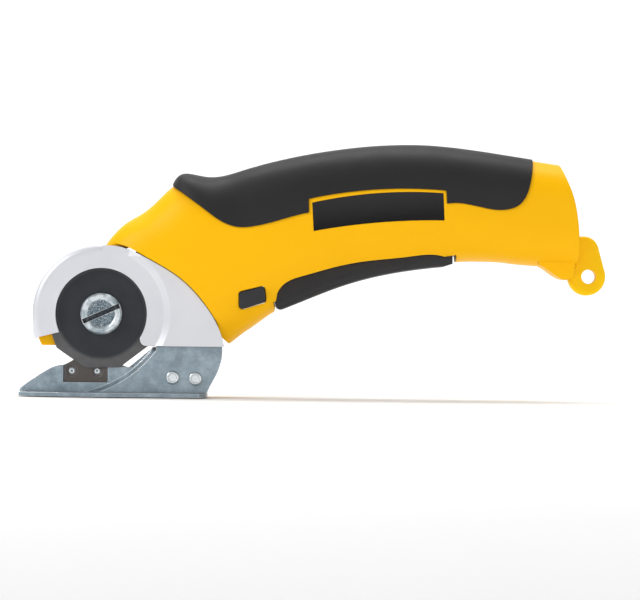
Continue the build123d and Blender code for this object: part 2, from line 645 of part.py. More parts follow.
def shoe_back_plate():
    """Far plate of the shoe, backing the fixed blade, with its half of the sole."""
    near = SHOE_FRONT_Y + SHEET
    outline = make_face([
        Spline((-36.0, 3.0), (-33.4, 5.0), (-26.8, 9.4), (-19.8, 12.9), (-17.7, 13.3)),
        *Polyline((-17.7, 13.3), (-12.5, 15.8), (2.6, 15.8), (12.0, 12.8), (22.5, 21.6)).edges(),
        Line((22.5, 21.6), (52.8, 21.6)),
        Spline((52.8, 21.6), (52.6, 16.7), (50.4, 10.1), (47.1, 3.5), (46.2, 0.9)),
        *Polyline((46.2, 0.9), (46.2, 0.0), (-36.0, 0.0), (-36.0, 3.0)).edges()])
    web = stepped_sheet(near, 110) & slab(outline, -40, 0)
    flange = foot(near + 1.0, near - SHOE_STEP + 1.0, FOOT_FAR_Y) - stepped_sheet(near - SHEET, 110)
    holes = [bar(x, z, RIVET_RADIUS, -40, 0) for x, z in RIVET_PLACES]
    edge_holes = [bar(x, z, 1.25, -40, 0) for x, z in EDGE_SCREW_PLACES]
    plate = web + flange - [*holes, *edge_holes]
    return plate.solids().sort_by(SortBy.VOLUME)[-1]


def shoe_rivets():
    """Rivets through both plates, their heads dished in the middle."""
    near = SHOE_FRONT_Y - SHOE_STEP
    far = near + 2 * SHEET
    rivets = []
    for x, z in RIVET_PLACES:
        head = bar(x, z, RIVET_HEAD_RADIUS, near - 1.1, near)
        head = fillet(head.edges().filter_by(GeomType.CIRCLE).sort_by(Axis.Y)[0], 0.8)
        head -= bar(x, z, RIVET_DISH_RADIUS, near - 2, near - 0.7)
        tail = bar(x, z, RIVET_HEAD_RADIUS, far, far + 0.8)
        rivets.append(head + bar(x, z, RIVET_RADIUS, near, far) + tail)
    return Compound(rivets)


def fixed_blade():
    """Carbide counter-blade with two countersunk holes."""
    outline = points_outline([(-16.1, 6.3), (-16.1, 13.7), (-12.0, 16.2), (2.7, 16.2), (2.7, 6.3)])
    near = BLADE_FAR_Y + 0.06
    plate = slab(outline, near, SHOE_FRONT_Y + SHEET)
    for x, z in EDGE_SCREW_PLACES:
        plate -= bar(x, z, 1.75, -20, 0)
        plate -= bar(x, z, 2.6, near - 1, near + 0.35)
    return plate


def edge_screws():
    """Small screws holding the fixed blade."""
    screws = []
    for x, z in EDGE_SCREW_PLACES:
        head = bar(x, z, 1.15, BLADE_FAR_Y + 0.5, SHOE_FRONT_Y + SHEET - 0.4)
        seat = bar(x, z, 1.7, SHOE_FRONT_Y + SHEET - 0.9, SHOE_FRONT_Y + SHEET - 0.4)
        socket = slab(Pos(x, z) * RegularPolygon(0.55, 6), BLADE_FAR_Y, BLADE_FAR_Y + 1.0)
        screws.append(head + seat + bar(x, z, 1.2, -9.9, -7.2) - socket)
    return Compound(screws)


# ---- screws

def cross_screw(x, z, head_radius, head_near, shank_radius, tip, towards):
    """Pan-head screw along the tool width; towards is the side its tip points to."""
    under = head_near + 1.8 * towards
    head = bar(x, z, head_radius, min(head_near, under), max(head_near, under))
    shank = bar(x, z, shank_radius, min(under, tip), max(under, tip))
    cross_face = Pos(x, z) * (Rectangle(0.7, 2.8) + Rectangle(2.8, 0.7))
    cross = slab(cross_face, *sorted((head_near, head_near + towards)))
    return head + shank - cross


def housing_screws():
    """Screws that hold the two shells together."""
    return Compound([cross_screw(x, z, 2.7, 12.8, 1.2, -8.5, -1) for x, z in HOUSING_SCREWS])


def cover_screws():
    """Screws from inside the blade-side shell into the cover."""
    return Compound([cross_screw(x, z, 2.2, -6.2, 1.15, -13.0, -1) for x, z in COVER_SCREWS])


def shoe_screws():
    """Screws through the shoe tab, hidden under the cover."""
    near = SHOE_FRONT_Y - SHOE_STEP
    return Compound([cross_screw(x, z, 2.4, near - 1.8, 1.15, -5.0, 1) for x, z in SHOE_SCREW_PLACES])


# ---- gears

def gear_outline(teeth, module, width_share, phase, add, ded):
    """Straight-flanked gear outline; phase 0 puts a tooth on the local X axis."""
    pitch_radius = teeth * module / 2
    pitch_angle = 2 * pi / teeth
    points = []
    for tooth in range(teeth):
        middle = pitch_angle * (tooth + phase)
        for radius, share in [(pitch_radius - ded, 1.35), (pitch_radius, 1.0), (pitch_radius + add, 0.5)]:
            points.append((radius, middle - pitch_angle * width_share * share / 2))
        for radius, share in [(pitch_radius + add, 0.5), (pitch_radius, 1.0), (pitch_radius - ded, 1.35)]:
            points.append((radius, middle + pitch_angle * width_share * share / 2))
    return points_outline([(r * cos(a), r * sin(a)) for r, a in points])


def bevel_wheel(teeth, mate_teeth, phase, body_profile):
    """Straight bevel gear about Z with its cone apex at the origin."""
    slope = atan2(teeth, mate_teeth)
    cone = teeth * BEVEL_MODULE / 2 / sin(slope)
    along = (sin(slope), cos(slope))
    out = (cos(slope), -sin(slope))
    pitch = pi * BEVEL_MODULE

    def corner(distance, height, side):
        scale = distance / cone
        radius = distance * along[0] + height * scale * out[0]
        return (radius, side * scale, distance * along[1] + height * scale * out[1])

    def tooth_wire(distance):
        top = 0.5
        root = -0.95
        corners = [corner(distance, root, -0.3 * pitch), corner(distance, top, -0.11 * pitch),
                   corner(distance, top, 0.11 * pitch), corner(distance, root, 0.3 * pitch)]
        return Wire.make_polygon(corners, close=True)

    tooth = Solid.make_loft([tooth_wire(cone), tooth_wire(cone - BEVEL_FACE)], ruled=True)
    root_points = []
    for distance in (cone - BEVEL_FACE, cone):
        point = corner(distance, -0.75, 0)
        root_points.append((point[0], point[2]))
    half_profile = Plane.XZ * points_outline(body_profile(root_points))
    wheel = revolve(half_profile, axis=Axis.Z)
    teeth_solids = [Rot(0, 0, 360 / teeth * (step + phase)) * tooth for step in range(teeth)]
    return wheel + teeth_solids


def bevel_gear():
    """Large bevel gear keyed to the spindle, teeth facing the blade side."""
    def profile(root):
        return [(SPINDLE_RADIUS, root[0][1]), root[0], root[1], (root[1][0], 5.8), (7.0, 5.8), (7.0, 9.6),
                (SPINDLE_RADIUS, 9.6)]
    wheel = bevel_wheel(BEVEL_GEAR_TEETH, BEVEL_PINION_TEETH, 0.5, profile)
    place = Plane((0, DRIVE_Y, AXIS_Z), x_dir=(DRIVE_COS, 0, DRIVE_SIN), z_dir=(0, 1, 0))
    return place * wheel


def output_pinion():
    """Bevel pinion, its shaft and the planet carrier in one piece."""
    def profile(root):
        return [(0, root[0][1]), root[0], root[1], (2.5, root[1][1] + 0.2), (2.5, CARRIER_START),
                (0, CARRIER_START)]
    pinion = drive_plane(0) * bevel_wheel(BEVEL_PINION_TEETH, BEVEL_GEAR_TEETH, 0.0, profile)
    carrier = drive_bar(10.2, CARRIER_START, PLANET_START - 0.3)
    pins = [planet_bar(step, 1.45, PLANET_START - 0.4, PLANET_END + 0.2) for step in range(PLANET_COUNT)]
    return pinion + carrier + pins


def planet_place(step, distance):
    """Plane on one planet axis."""
    radius = (SUN_TEETH + PLANET_TEETH) * PLANET_MODULE / 2
    return drive_plane(distance) * Rot(0, 0, 360 / PLANET_COUNT * step) * Pos(radius, 0, 0)


def planet_bar(step, radius, start, end):
    """Round bar on one planet axis."""
    return extrude(planet_place(step, start) * Circle(radius), amount=end - start)


def planet(step):
    """Planet gear; a gap faces the sun and a tooth faces the ring."""
    outline = gear_outline(PLANET_TEETH, PLANET_MODULE, 0.4, 0.0, 0.3, 0.45)
    wheel = extrude(planet_place(step, PLANET_START) * outline, amount=PLANET_END - PLANET_START)
    return wheel - planet_bar(step, 1.45 + RUNNING_GAP, PLANET_START - 1, PLANET_END + 1)


def sun_gear():
    """Small gear pressed on the motor shaft."""
    outline = gear_outline(SUN_TEETH, PLANET_MODULE, 0.4, 0.0, 0.3, 0.45)
    wheel = extrude(drive_plane(PLANET_START + 0.2) * outline, amount=PLANET_END - PLANET_START + 0.6)
    return wheel - drive_bar(0.75, PLANET_START - 1, PLANET_END + 3)


def ring_gear():
    """Gearbox can with a narrower nose and the internal gear moulded in it."""
    outline = gear_outline(RING_TEETH, PLANET_MODULE, 0.6, 0.0, 0.45, 0.3)
    nose = drive_bar(GEARBOX_NOSE_RADIUS, GEARBOX_START, GEARBOX_NOSE_END)
    can = nose + drive_bar(GEARBOX_RADIUS, GEARBOX_NOSE_END, GEARBOX_END)
    bore = drive_bar(11.6, GEARBOX_START + 2.2, PLANET_START - 0.1)
    teeth = extrude(drive_plane(PLANET_START - 0.1) * outline, amount=GEARBOX_END)
    seat = drive_bar(4.2, GEARBOX_START - 1, GEARBOX_START + 5)
    return can - [bore, teeth, seat]


def output_bushing():
    """Sleeve that carries the pinion shaft in the gearbox nose."""
    return drive_bar(4.2, 29.0, 34.9) - drive_bar(2.5 + RUNNING_GAP, 28, 36)


# ---- motor and power

def motor_can():
    """Steel can of the motor with two side vents."""
    start = GEARBOX_END
    can = drive_bar(MOTOR_RADIUS, start, start + MOTOR_LENGTH)
    can -= drive_bar(MOTOR_RADIUS - 1.0, start + 1.2, start + 60)
    nose_hole = drive_bar(1.9, start - 1, start + 3)
    vents = extrude(drive_plane(start + 6) * Rectangle(40, 5), amount=5)
    return can - [nose_hole, vents]


def motor_end_cap():
    """Moulded rear cap of the motor with its brush tower."""
    start = GEARBOX_END + MOTOR_LENGTH
    flange = drive_bar(MOTOR_RADIUS, start, start + 1.6)
    plug = drive_bar(MOTOR_RADIUS - 1.1, start - 2.5, start)
    tower = drive_bar(5.0, start + 1.6, start + 4.2)
    return flange + plug + tower - drive_bar(1.3, start - 3, start + 3)


def motor_rotor():
    """Motor shaft with the wound core and commutator."""
    start = GEARBOX_END
    shaft = drive_bar(0.75, PLANET_START + 0.3, start + 1.0)
    shaft += drive_bar(1.15, start + 1.0, start + MOTOR_LENGTH + 2.4)
    core = drive_bar(9.6, start + 7, start + 29)
    slots = []
    for step in range(5):
        turned = drive_plane(start + 6) * Rot(0, 0, 72 * step) * Pos(9.0, 0, 0) * Rectangle(6.0, 1.6)
        slots.append(extrude(turned, amount=24))
    commutator = drive_bar(3.4, start + 30, start + 34.5)
    return shaft + (core - slots) + commutator


def motor_magnets():
    """Two curved magnets inside the can."""
    start = GEARBOX_END
    tube = drive_bar(MOTOR_RADIUS - 1.05, start + 6.5, start + 30) - drive_bar(10.0, start + 6, start + 31)
    gap = extrude(drive_plane(start + 5) * Rectangle(7, 40), amount=27)
    return tube - gap


def battery_cell():
    """Cylindrical lithium cell with its cap."""
    plane = Plane((CELL_START_X, 0, CELL_Z), x_dir=(0, 1, 0), z_dir=(1, 0, 0))
    body = extrude(plane * Circle(CELL_RADIUS), amount=CELL_LENGTH - 1.2)
    groove_face = Circle(CELL_RADIUS + 1) - Circle(CELL_RADIUS - 0.5)
    groove = extrude(plane.offset(CELL_LENGTH - 5.5) * groove_face, amount=1.0)
    cap = extrude(plane.offset(CELL_LENGTH - 1.2) * Circle(4.2), amount=1.2)
    return fillet(body.edges().filter_by(GeomType.CIRCLE), 0.5) - groove + cap


def battery_tabs():
    """Nickel tabs welded to both ends of the cell."""
    near = CELL_START_X
    far = CELL_START_X + CELL_LENGTH
    front = block(near - 0.3, near, -3, 3, CELL_Z - 13, CELL_Z + 5)
    rear = block(far, far + 0.3, -3, 3, CELL_Z - 13, CELL_Z + 4)
    return Compound([front, rear])


def circuit_board():
    """Charge and protection board with its components."""
    board = block(109, 136.2, -9, 9, 71.9, 73.3)
    parts = [block(113, 119, -3.5, 2.5, 73.3, 75.0), block(123, 127, 0, 5, 73.3, 74.6),
             block(130, 133, -6, -3, 73.3, 75.4), block(122, 126, -6, -3, 73.3, 74.3)]
    return board + parts


def charging_socket():
    """Round charging socket in the tail."""
    plane = Plane((198.0, 0, SOCKET_Z), x_dir=(0, 1, 0), z_dir=(1, 0, 0))
    body = block(192.0, 203.0, -4.8, 4.8, SOCKET_Z - 4.8, SOCKET_Z + 4.8)
    barrel = extrude(plane * Circle(3.85), amount=10.5)
    bore = extrude(plane * Circle(2.75), amount=20)
    contact = extrude(plane.offset(-1) * Circle(0.9), amount=9.5)
    return body + barrel - bore + contact


def switch_body():
    """Trigger switch with an opening for its plunger."""
    body = block(84.5, 98.0, -4.5, 4.5, SWITCH_Z, SWITCH_Z + 9)
    return body - bar_up(PLUNGER_X, 2.3, SWITCH_Z - 1, SWITCH_Z + 6.2)


def bar_up(x, radius, z_low, z_high):
    """Upright round bar on the mid-plane."""
    return extrude(Plane((x, 0, z_low)) * Circle(radius), amount=z_high - z_low)


def switch_plunger():
    """Plunger between the trigger and the switch."""
    return bar_up(PLUNGER_X, 2.25, PLUNGER_FOOT_Z, SWITCH_Z + 1.5)


# ---- controls

def trigger():
    """Hollow paddle with rounded lower edges, pivot lug and lock hook."""
    paddle = slab(trigger_outline(), -TRIGGER_HALF_WIDTH, TRIGGER_HALF_WIDTH)
    long_edges = paddle.edges().filter_by(lambda edge: edge.length > 60 and edge.center().Z < 56)
    paddle = fillet(long_edges, 3.2)
    room = slab(points_outline([(84, 48.5), (84, 70), (146, 76), (146, 63.0), (116.9, 57.5), (98, 51.8)]),
                -TRIGGER_HALF_WIDTH + 2, TRIGGER_HALF_WIDTH - 2)
    seats = [(PLUNGER_X, PLUNGER_FOOT_Z), (SPRING_X, SPRING_FOOT_Z)]
    bridges = [block(x - 3, x + 3, -11.5, 11.5, 45, z) for x, z in seats]
    room -= bridges
    return paddle - room - bar(*PIVOT, PIN_RADIUS + RUNNING_GAP, -20, 20)


def trigger_pin():
    """Steel pin the trigger turns on."""
    return bar(*PIVOT, PIN_RADIUS, -PIN_HALF_LENGTH, PIN_HALF_LENGTH)


def trigger_spring():
    """Return spring between the trigger and a rib of the housing."""
    height = SPRING_TOP_Z - SPRING_FOOT_Z - 0.7
    path = Helix(pitch=height / 5, height=height, radius=2.0, center=(SPRING_X, 0, SPRING_FOOT_Z + 0.35))
    start = Plane(origin=path @ 0, z_dir=path % 0)
    return sweep(start * Circle(0.3), path=path)


def lock_button():
    """Cross button that blocks the trigger until it is pushed."""
    bolt = slab(button_outline(0), -18.4, 17.6)
    ends = bolt.edges().filter_by(lambda edge: abs(edge.center().Y) > 17 and edge.length > 0.5)
    return fillet(ends, 0.5)


# ---- build

def build_parts():
    """Every separate piece by name."""
    body = shell_blank()
    pieces = {
        "left_shell": half(body, -1).solids().sort_by(SortBy.VOLUME)[-1],
        "right_shell": half(body, 1).solids().sort_by(SortBy.VOLUME)[-1],
        "left_grip": grip(-1),
        "right_grip": grip(1),
        "left_nameplate": nameplate(-1),
        "right_nameplate": nameplate(1),
        "hang_loop": hang_loop(),
        "head_cover": head_cover(),
        "cover_screws": cover_screws(),
        "housing_screws": housing_screws(),
        "rotary_blade": rotary_blade(),
        "blade_screw": blade_screw(),
        "spindle": spindle(),
        "front_bushing": bushing(HEAD_FACE_Y, -3.4),
        "rear_bushing": bushing(12.0, 15.6),
        "shoe_plate": shoe_plate(),
        "shoe_back_plate": shoe_back_plate(),
        "shoe_rivets": shoe_rivets(),
        "shoe_screws": shoe_screws(),
        "fixed_blade": fixed_blade(),
        "fixed_blade_screws": edge_screws(),
        "bevel_gear": bevel_gear(),
        "output_pinion": output_pinion(),
        "output_bushing": output_bushing(),
        "ring_gear": ring_gear(),
        "sun_gear": sun_gear(),
        "motor_can": motor_can(),
        "motor_magnets": motor_magnets(),
        "motor_rotor": motor_rotor(),
        "motor_end_cap": motor_end_cap(),
        "battery_cell": battery_cell(),
        "battery_tabs": battery_tabs(),
        "circuit_board": circuit_board(),
        "charging_socket": charging_socket(),
        "switch_body": switch_body(),
        "switch_plunger": switch_plunger(),
        "trigger": trigger(),
        "trigger_pin": trigger_pin(),
        "trigger_spring": trigger_spring(),
        "lock_button": lock_button(),
    }
    for step in range(PLANET_COUNT):
        pieces[f"planet_gear_{step + 1}"] = planet(step)
    return pieces


os.makedirs("parts", exist_ok=True)
for name, piece in build_parts().items():
    export_step(piece, f"parts/{name}.step")
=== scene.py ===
import json
import math

import bpy
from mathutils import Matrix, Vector


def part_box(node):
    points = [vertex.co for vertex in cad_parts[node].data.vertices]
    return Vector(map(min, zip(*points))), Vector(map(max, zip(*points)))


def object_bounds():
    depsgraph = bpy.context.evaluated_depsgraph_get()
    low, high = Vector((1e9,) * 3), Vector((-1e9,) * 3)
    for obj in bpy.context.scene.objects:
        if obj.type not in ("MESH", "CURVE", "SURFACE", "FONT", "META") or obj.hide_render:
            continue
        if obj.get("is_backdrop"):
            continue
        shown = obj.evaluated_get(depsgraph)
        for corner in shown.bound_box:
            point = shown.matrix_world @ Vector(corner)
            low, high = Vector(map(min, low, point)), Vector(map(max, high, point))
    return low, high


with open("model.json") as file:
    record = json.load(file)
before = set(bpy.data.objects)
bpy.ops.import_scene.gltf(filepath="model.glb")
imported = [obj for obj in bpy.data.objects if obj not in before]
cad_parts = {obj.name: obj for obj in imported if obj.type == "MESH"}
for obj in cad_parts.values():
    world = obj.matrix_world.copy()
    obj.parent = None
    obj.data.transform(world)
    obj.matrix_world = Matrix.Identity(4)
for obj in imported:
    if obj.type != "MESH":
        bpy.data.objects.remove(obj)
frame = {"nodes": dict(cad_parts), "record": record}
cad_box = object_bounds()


# ---------------------------------------------------------------- helpers

def plain(value):
    """Nested plain lists of numbers from vectors."""
    if isinstance(value, (int, float)):
        return float(value)
    return [plain(item) for item in value]


def new_material(name):
    """Empty node material with a principled shader; returns material, tree and shader."""
    material = bpy.data.materials.new(name)
    material.use_nodes = True
    tree = material.node_tree
    return material, tree, tree.nodes["Principled BSDF"]


def add_node(tree, kind, **values):
    """Node with its settings and unlinked inputs filled in."""
    node = tree.nodes.new(kind)
    for key, value in values.items():
        if key in node.inputs:
            node.inputs[key].default_value = value
        else:
            setattr(node, key, value)
    return node


def object_place(tree):
    """Object-space position, the same for every piece because nodes sit at the origin."""
    return add_node(tree, "ShaderNodeTexCoord").outputs["Object"]


def noise(tree, place, scale, detail=3.0, rough=0.55):
    """Noise value in object space."""
    node = add_node(tree, "ShaderNodeTexNoise", Scale=scale, Detail=detail, Roughness=rough)
    tree.links.new(place, node.inputs["Vector"])
    return node.outputs["Fac"]


def spread(tree, value, low, high):
    """Remaps 0..1 to a chosen range."""
    node = tree.nodes.new("ShaderNodeMapRange")
    node.inputs["To Min"].default_value = low
    node.inputs["To Max"].default_value = high
    tree.links.new(value, node.inputs["Value"])
    return node.outputs["Result"]


def ramp(tree, value, stops):
    """Colour ramp from (position, colour) stops."""
    node = tree.nodes.new("ShaderNodeValToRGB")
    elements = node.color_ramp.elements
    while len(elements) < len(stops):
        elements.new(0.5)
    for element, (position, colour) in zip(elements, stops):
        element.position = position
        element.color = (*colour, 1.0)
    tree.links.new(value, node.inputs["Fac"])
    return node.outputs["Color"]


def mixed(tree, factor, first, second):
    """Mix of two colours by a factor socket; colours may be sockets or tuples."""
    node = tree.nodes.new("ShaderNodeMix")
    node.data_type = "RGBA"
    for index, colour in ((6, first), (7, second)):
        if isinstance(colour, tuple):
            node.inputs[index].default_value = (*colour, 1.0)
        else:
            tree.links.new(colour, node.inputs[index])
    tree.links.new(factor, node.inputs[0])
    return node.outputs[2]


def broken_edge(tree, radius):
    """Normal that turns smoothly over edges of this radius, and a mask that is bright on them, used to paint edges
    lighter as a highlight that also stands for wear.
    """
    soft = add_node(tree, "ShaderNodeBevel", samples=6, Radius=radius)
    geometry = tree.nodes.new("ShaderNodeNewGeometry")
    likeness = add_node(tree, "ShaderNodeVectorMath", operation="DOT_PRODUCT")
    tree.links.new(soft.outputs["Normal"], likeness.inputs[0])
    tree.links.new(geometry.outputs["Normal"], likeness.inputs[1])
    mask = tree.nodes.new("ShaderNodeMapRange")
    mask.inputs["From Min"].default_value = 0.995
    mask.inputs["From Max"].default_value = 0.9
    tree.links.new(likeness.outputs["Value"], mask.inputs["Value"])
    return soft.outputs["Normal"], mask.outputs["Result"]


def painted_shade_mask(tree, reach):
    """Ambient-occlusion mask for painted shade: bright in slots, corners and recesses that open less than this far."""
    shade = add_node(tree, "ShaderNodeAmbientOcclusion", samples=8, Distance=reach)
    mask = tree.nodes.new("ShaderNodeMapRange")
    mask.inputs["From Min"].default_value = 0.75
    mask.inputs["From Max"].default_value = 0.35
    tree.links.new(shade.outputs["AO"], mask.inputs["Value"])
    return mask.outputs["Result"]


def parting_line(tree, place, half_width):
    """Bright along the mid-plane, where the two halves meet."""
    split = tree.nodes.new("ShaderNodeSeparateXYZ")
    tree.links.new(place, split.inputs[0])
    distance = add_node(tree, "ShaderNodeMath", operation="ABSOLUTE")
    tree.links.new(split.outputs["Y"], distance.inputs[0])
    mask = tree.nodes.new("ShaderNodeMapRange")
    mask.inputs["From Min"].default_value = half_width
    mask.inputs["From Max"].default_value = half_width * 0.4
    tree.links.new(distance.outputs[0], mask.inputs["Value"])
    return mask.outputs["Result"]


def bump(tree, shader, height, strength, distance, normal=None):
    """Bump from a height socket, on top of an optional softened normal."""
    node = add_node(tree, "ShaderNodeBump", Strength=strength, Distance=distance)
    tree.links.new(height, node.inputs["Height"])
    if normal is not None:
        tree.links.new(normal, node.inputs["Normal"])
    tree.links.new(node.outputs["Normal"], shader.inputs["Normal"])


# ---------------------------------------------------------------- materials

def plastic(name, dark, light, edge_wear_and_highlight_colour, rough=(0.32, 0.42), grain=900.0, grain_depth=0.00006, coat=0.15,
            edge=0.0006, recess_shade_and_seam=(0.0, 0.0, 0.0), seam=0.0, specular=0.4):
    """Moulded plastic with colour drift, fine grain, edges painted paler as a highlight that also stands for wear,
    painted shade in recesses and a dark parting line.
    """
    material, tree, shader = new_material(name)
    place = object_place(tree)
    normal, edge_wear_and_highlight = broken_edge(tree, edge)
    drift = noise(tree, place, 14.0, 2.0)
    colour = mixed(tree, drift, dark, light)
    # Edges painted paler: a painted highlight that also stands for wear.
    colour = mixed(tree, spread(tree, edge_wear_and_highlight, 0.0, 0.35), colour, edge_wear_and_highlight_colour)
    # Painted shade darkens slots, corners and recesses.
    colour = mixed(tree, spread(tree, painted_shade_mask(tree, 0.0015), 0.0, 0.7), colour, recess_shade_and_seam)
    if seam:
        colour = mixed(tree, spread(tree, parting_line(tree, place, seam), 0.0, 0.8), colour, recess_shade_and_seam)
    tree.links.new(colour, shader.inputs["Base Color"])
    tree.links.new(spread(tree, noise(tree, place, 60.0, 4.0), *rough), shader.inputs["Roughness"])
    bump(tree, shader, noise(tree, place, grain, 3.0), 0.25, grain_depth, normal)
    shader.inputs["Specular IOR Level"].default_value = specular
    shader.inputs["Coat Weight"].default_value = coat
    shader.inputs["Coat Roughness"].default_value = 0.25
    return material


def rubber(name):
    """Dark soft rubber with a fine leather-like grain and a faint seam at the mid-plane."""
    material, tree, shader = new_material(name)
    place = object_place(tree)
    normal, edge_wear_and_highlight = broken_edge(tree, 0.0006)
    colour = mixed(tree, noise(tree, place, 25.0, 3.0), (0.013, 0.013, 0.0135), (0.021, 0.021, 0.022))
    # Edges painted lighter: a painted highlight that also stands for wear.
    colour = mixed(tree, spread(tree, edge_wear_and_highlight, 0.0, 0.25), colour, (0.05, 0.05, 0.053))
    colour = mixed(tree, spread(tree, parting_line(tree, place, 0.00018), 0.0, 0.8), colour, (0.004, 0.004, 0.004))
    tree.links.new(colour, shader.inputs["Base Color"])
    tree.links.new(spread(tree, noise(tree, place, 90.0, 3.0), 0.46, 0.58), shader.inputs["Roughness"])
    shader.inputs["Specular IOR Level"].default_value = 0.22
    cells = add_node(tree, "ShaderNodeTexVoronoi", Scale=1500.0)
    tree.links.new(place, cells.inputs["Vector"])
    bump(tree, shader, cells.outputs["Distance"], 0.3, 0.0001, normal)
    return material


def metal(name, dark, light, metallic, rough, grain=1400.0, stretch=(1.0, 1.0, 1.0),
          edge=(0.9, 0.92, 0.95), depth=0.00004, edge_radius=0.0003):
    """Metal with streaked or speckled grain, tone drift, edges painted bright as a highlight that also stands for wear,
    and painted shade in recesses.
    """
    material, tree, shader = new_material(name)
    place = object_place(tree)
    mapping = tree.nodes.new("ShaderNodeMapping")
    mapping.inputs["Scale"].default_value = stretch
    tree.links.new(place, mapping.inputs["Vector"])
    streak = noise(tree, mapping.outputs["Vector"], grain, 4.0)
    normal, edge_wear_and_highlight = broken_edge(tree, edge_radius)
    colour = mixed(tree, noise(tree, place, 45.0, 3.0), dark, light)
    # Edges painted bright: a painted highlight that also stands for wear.
    colour = mixed(tree, spread(tree, edge_wear_and_highlight, 0.0, 0.8), colour, edge)
    # Painted shade darkens slots, corners and recesses.
    colour = mixed(tree, painted_shade_mask(tree, 0.0022), colour, (0.03, 0.032, 0.035))
    tree.links.new(colour, shader.inputs["Base Color"])
    tree.links.new(spread(tree, streak, *rough), shader.inputs["Roughness"])
    shader.inputs["Metallic"].default_value = metallic
    bump(tree, shader, streak, 0.2, depth, normal)
    return material


def galvanised(name):
    """Zinc sheet with bluish mottled patches, fine scratches, a bright edge that is a painted highlight, and painted
    shade in recesses.
    """
    material, tree, shader = new_material(name)
    place = object_place(tree)
    patches = ramp(tree, noise(tree, place, 170.0, 8.0, 0.72),
                   [(0.36, (0.16, 0.205, 0.24)), (0.5, (0.26, 0.325, 0.375)), (0.64, (0.40, 0.475, 0.53))])
    clouds = noise(tree, place, 420.0, 6.0, 0.7)
    drift = noise(tree, place, 38.0, 2.0)
    normal, edge_wear_and_highlight = broken_edge(tree, 0.0004)
    colour = mixed(tree, spread(tree, drift, 0.0, 0.75), patches, (0.28, 0.35, 0.40))
    # Edges painted near white as a painted highlight.
    colour = mixed(tree, edge_wear_and_highlight, colour, (0.8, 0.84, 0.87))
    # Painted shade darkens slots and recesses.
    colour = mixed(tree, painted_shade_mask(tree, 0.001), colour, (0.05, 0.055, 0.06))
    tree.links.new(colour, shader.inputs["Base Color"])
    tree.links.new(spread(tree, clouds, 0.25, 0.55), shader.inputs["Roughness"])
    shader.inputs["Metallic"].default_value = 0.75
    bump(tree, shader, clouds, 0.3, 0.00008, normal)
    return material


def radius_from_axis(tree, place, centre_z):
    """Distance from the blade axis in the side view."""
    shift = add_node(tree, "ShaderNodeVectorMath", operation="SUBTRACT")
    shift.inputs[1].default_value = (0.0, 0.0, centre_z)
    flat = add_node(tree, "ShaderNodeVectorMath", operation="MULTIPLY")
    flat.inputs[1].default_value = (1.0, 0.0, 1.0)
    length = add_node(tree, "ShaderNodeVectorMath", operation="LENGTH")
    tree.links.new(place, shift.inputs[0])
    tree.links.new(shift.outputs["Vector"], flat.inputs[0])
    tree.links.new(flat.outputs["Vector"], length.inputs[0])
    return length.outputs["Value"]


def above(tree, value, limit, blur):
    """Rises from 0 to 1 as the value passes a limit."""
    step = tree.nodes.new("ShaderNodeMapRange")
    step.inputs["From Min"].default_value = limit - blur
    step.inputs["From Max"].default_value = limit + blur
    tree.links.new(value, step.inputs["Value"])
    return step.outputs["Result"]


def clamp_screw(name, centre_z, rim_radius):
    """Zinc screw head with a rim painted brighter as a highlight, a darker speckled middle and a slot darkened with
    painted shade.
    """
    material, tree, shader = new_material(name)
    place = object_place(tree)
    normal, edge_wear_and_highlight = broken_edge(tree, 0.0004)
    speckle = noise(tree, place, 1600.0, 5.0, 0.7)
    middle = ramp(tree, speckle, [(0.38, (0.035, 0.055, 0.075)), (0.5, (0.12, 0.16, 0.19)), (0.64, (0.42, 0.48, 0.52))])
    # Painted highlight: the rim outside rim_radius is coloured brighter than the middle.
    rim_highlight = ramp(tree, noise(tree, place, 260.0, 3.0), [(0.35, (0.24, 0.31, 0.35)), (0.6, (0.66, 0.71, 0.74))])
    outside = above(tree, radius_from_axis(tree, place, centre_z), rim_radius, 0.0003)
    colour = mixed(tree, outside, middle, rim_highlight)
    # Edges painted near white as a painted highlight.
    colour = mixed(tree, edge_wear_and_highlight, colour, (0.9, 0.92, 0.93))
    # Painted shade darkens the slot and recesses.
    colour = mixed(tree, painted_shade_mask(tree, 0.004), colour, (0.008, 0.010, 0.014))
    tree.links.new(colour, shader.inputs["Base Color"])
    tree.links.new(spread(tree, speckle, 0.25, 0.5), shader.inputs["Roughness"])
    shader.inputs["Metallic"].default_value = 0.7
    bump(tree, shader, speckle, 0.3, 0.00008, normal)
    return material


def blade_steel(name, centre_z, flat_radius):
    """Dark blued disc with turning marks and a paler ground bevel."""
    material, tree, shader = new_material(name)
    place = object_place(tree)
    radius = radius_from_axis(tree, place, centre_z)
    ring_input = add_node(tree, "ShaderNodeMath", operation="MULTIPLY")
    ring_input.inputs[1].default_value = 2400.0
    tree.links.new(radius, ring_input.inputs[0])
    wobble = add_node(tree, "ShaderNodeMath", operation="SINE")
    tree.links.new(ring_input.outputs[0], wobble.inputs[0])
    outside = above(tree, radius, flat_radius, 0.0009)
    dark = mixed(tree, noise(tree, place, 130.0, 4.0), (0.018, 0.021, 0.026), (0.032, 0.035, 0.042))
    bevel = mixed(tree, noise(tree, place, 400.0, 4.0), (0.07, 0.07, 0.073), (0.12, 0.12, 0.124))
    tree.links.new(mixed(tree, outside, dark, bevel), shader.inputs["Base Color"])
    tree.links.new(spread(tree, noise(tree, place, 220.0, 3.0), 0.34, 0.5), shader.inputs["Roughness"])
    shader.inputs["Metallic"].default_value = 0.55
    bump(tree, shader, wobble.outputs[0], 0.06, 0.00002)
    return material


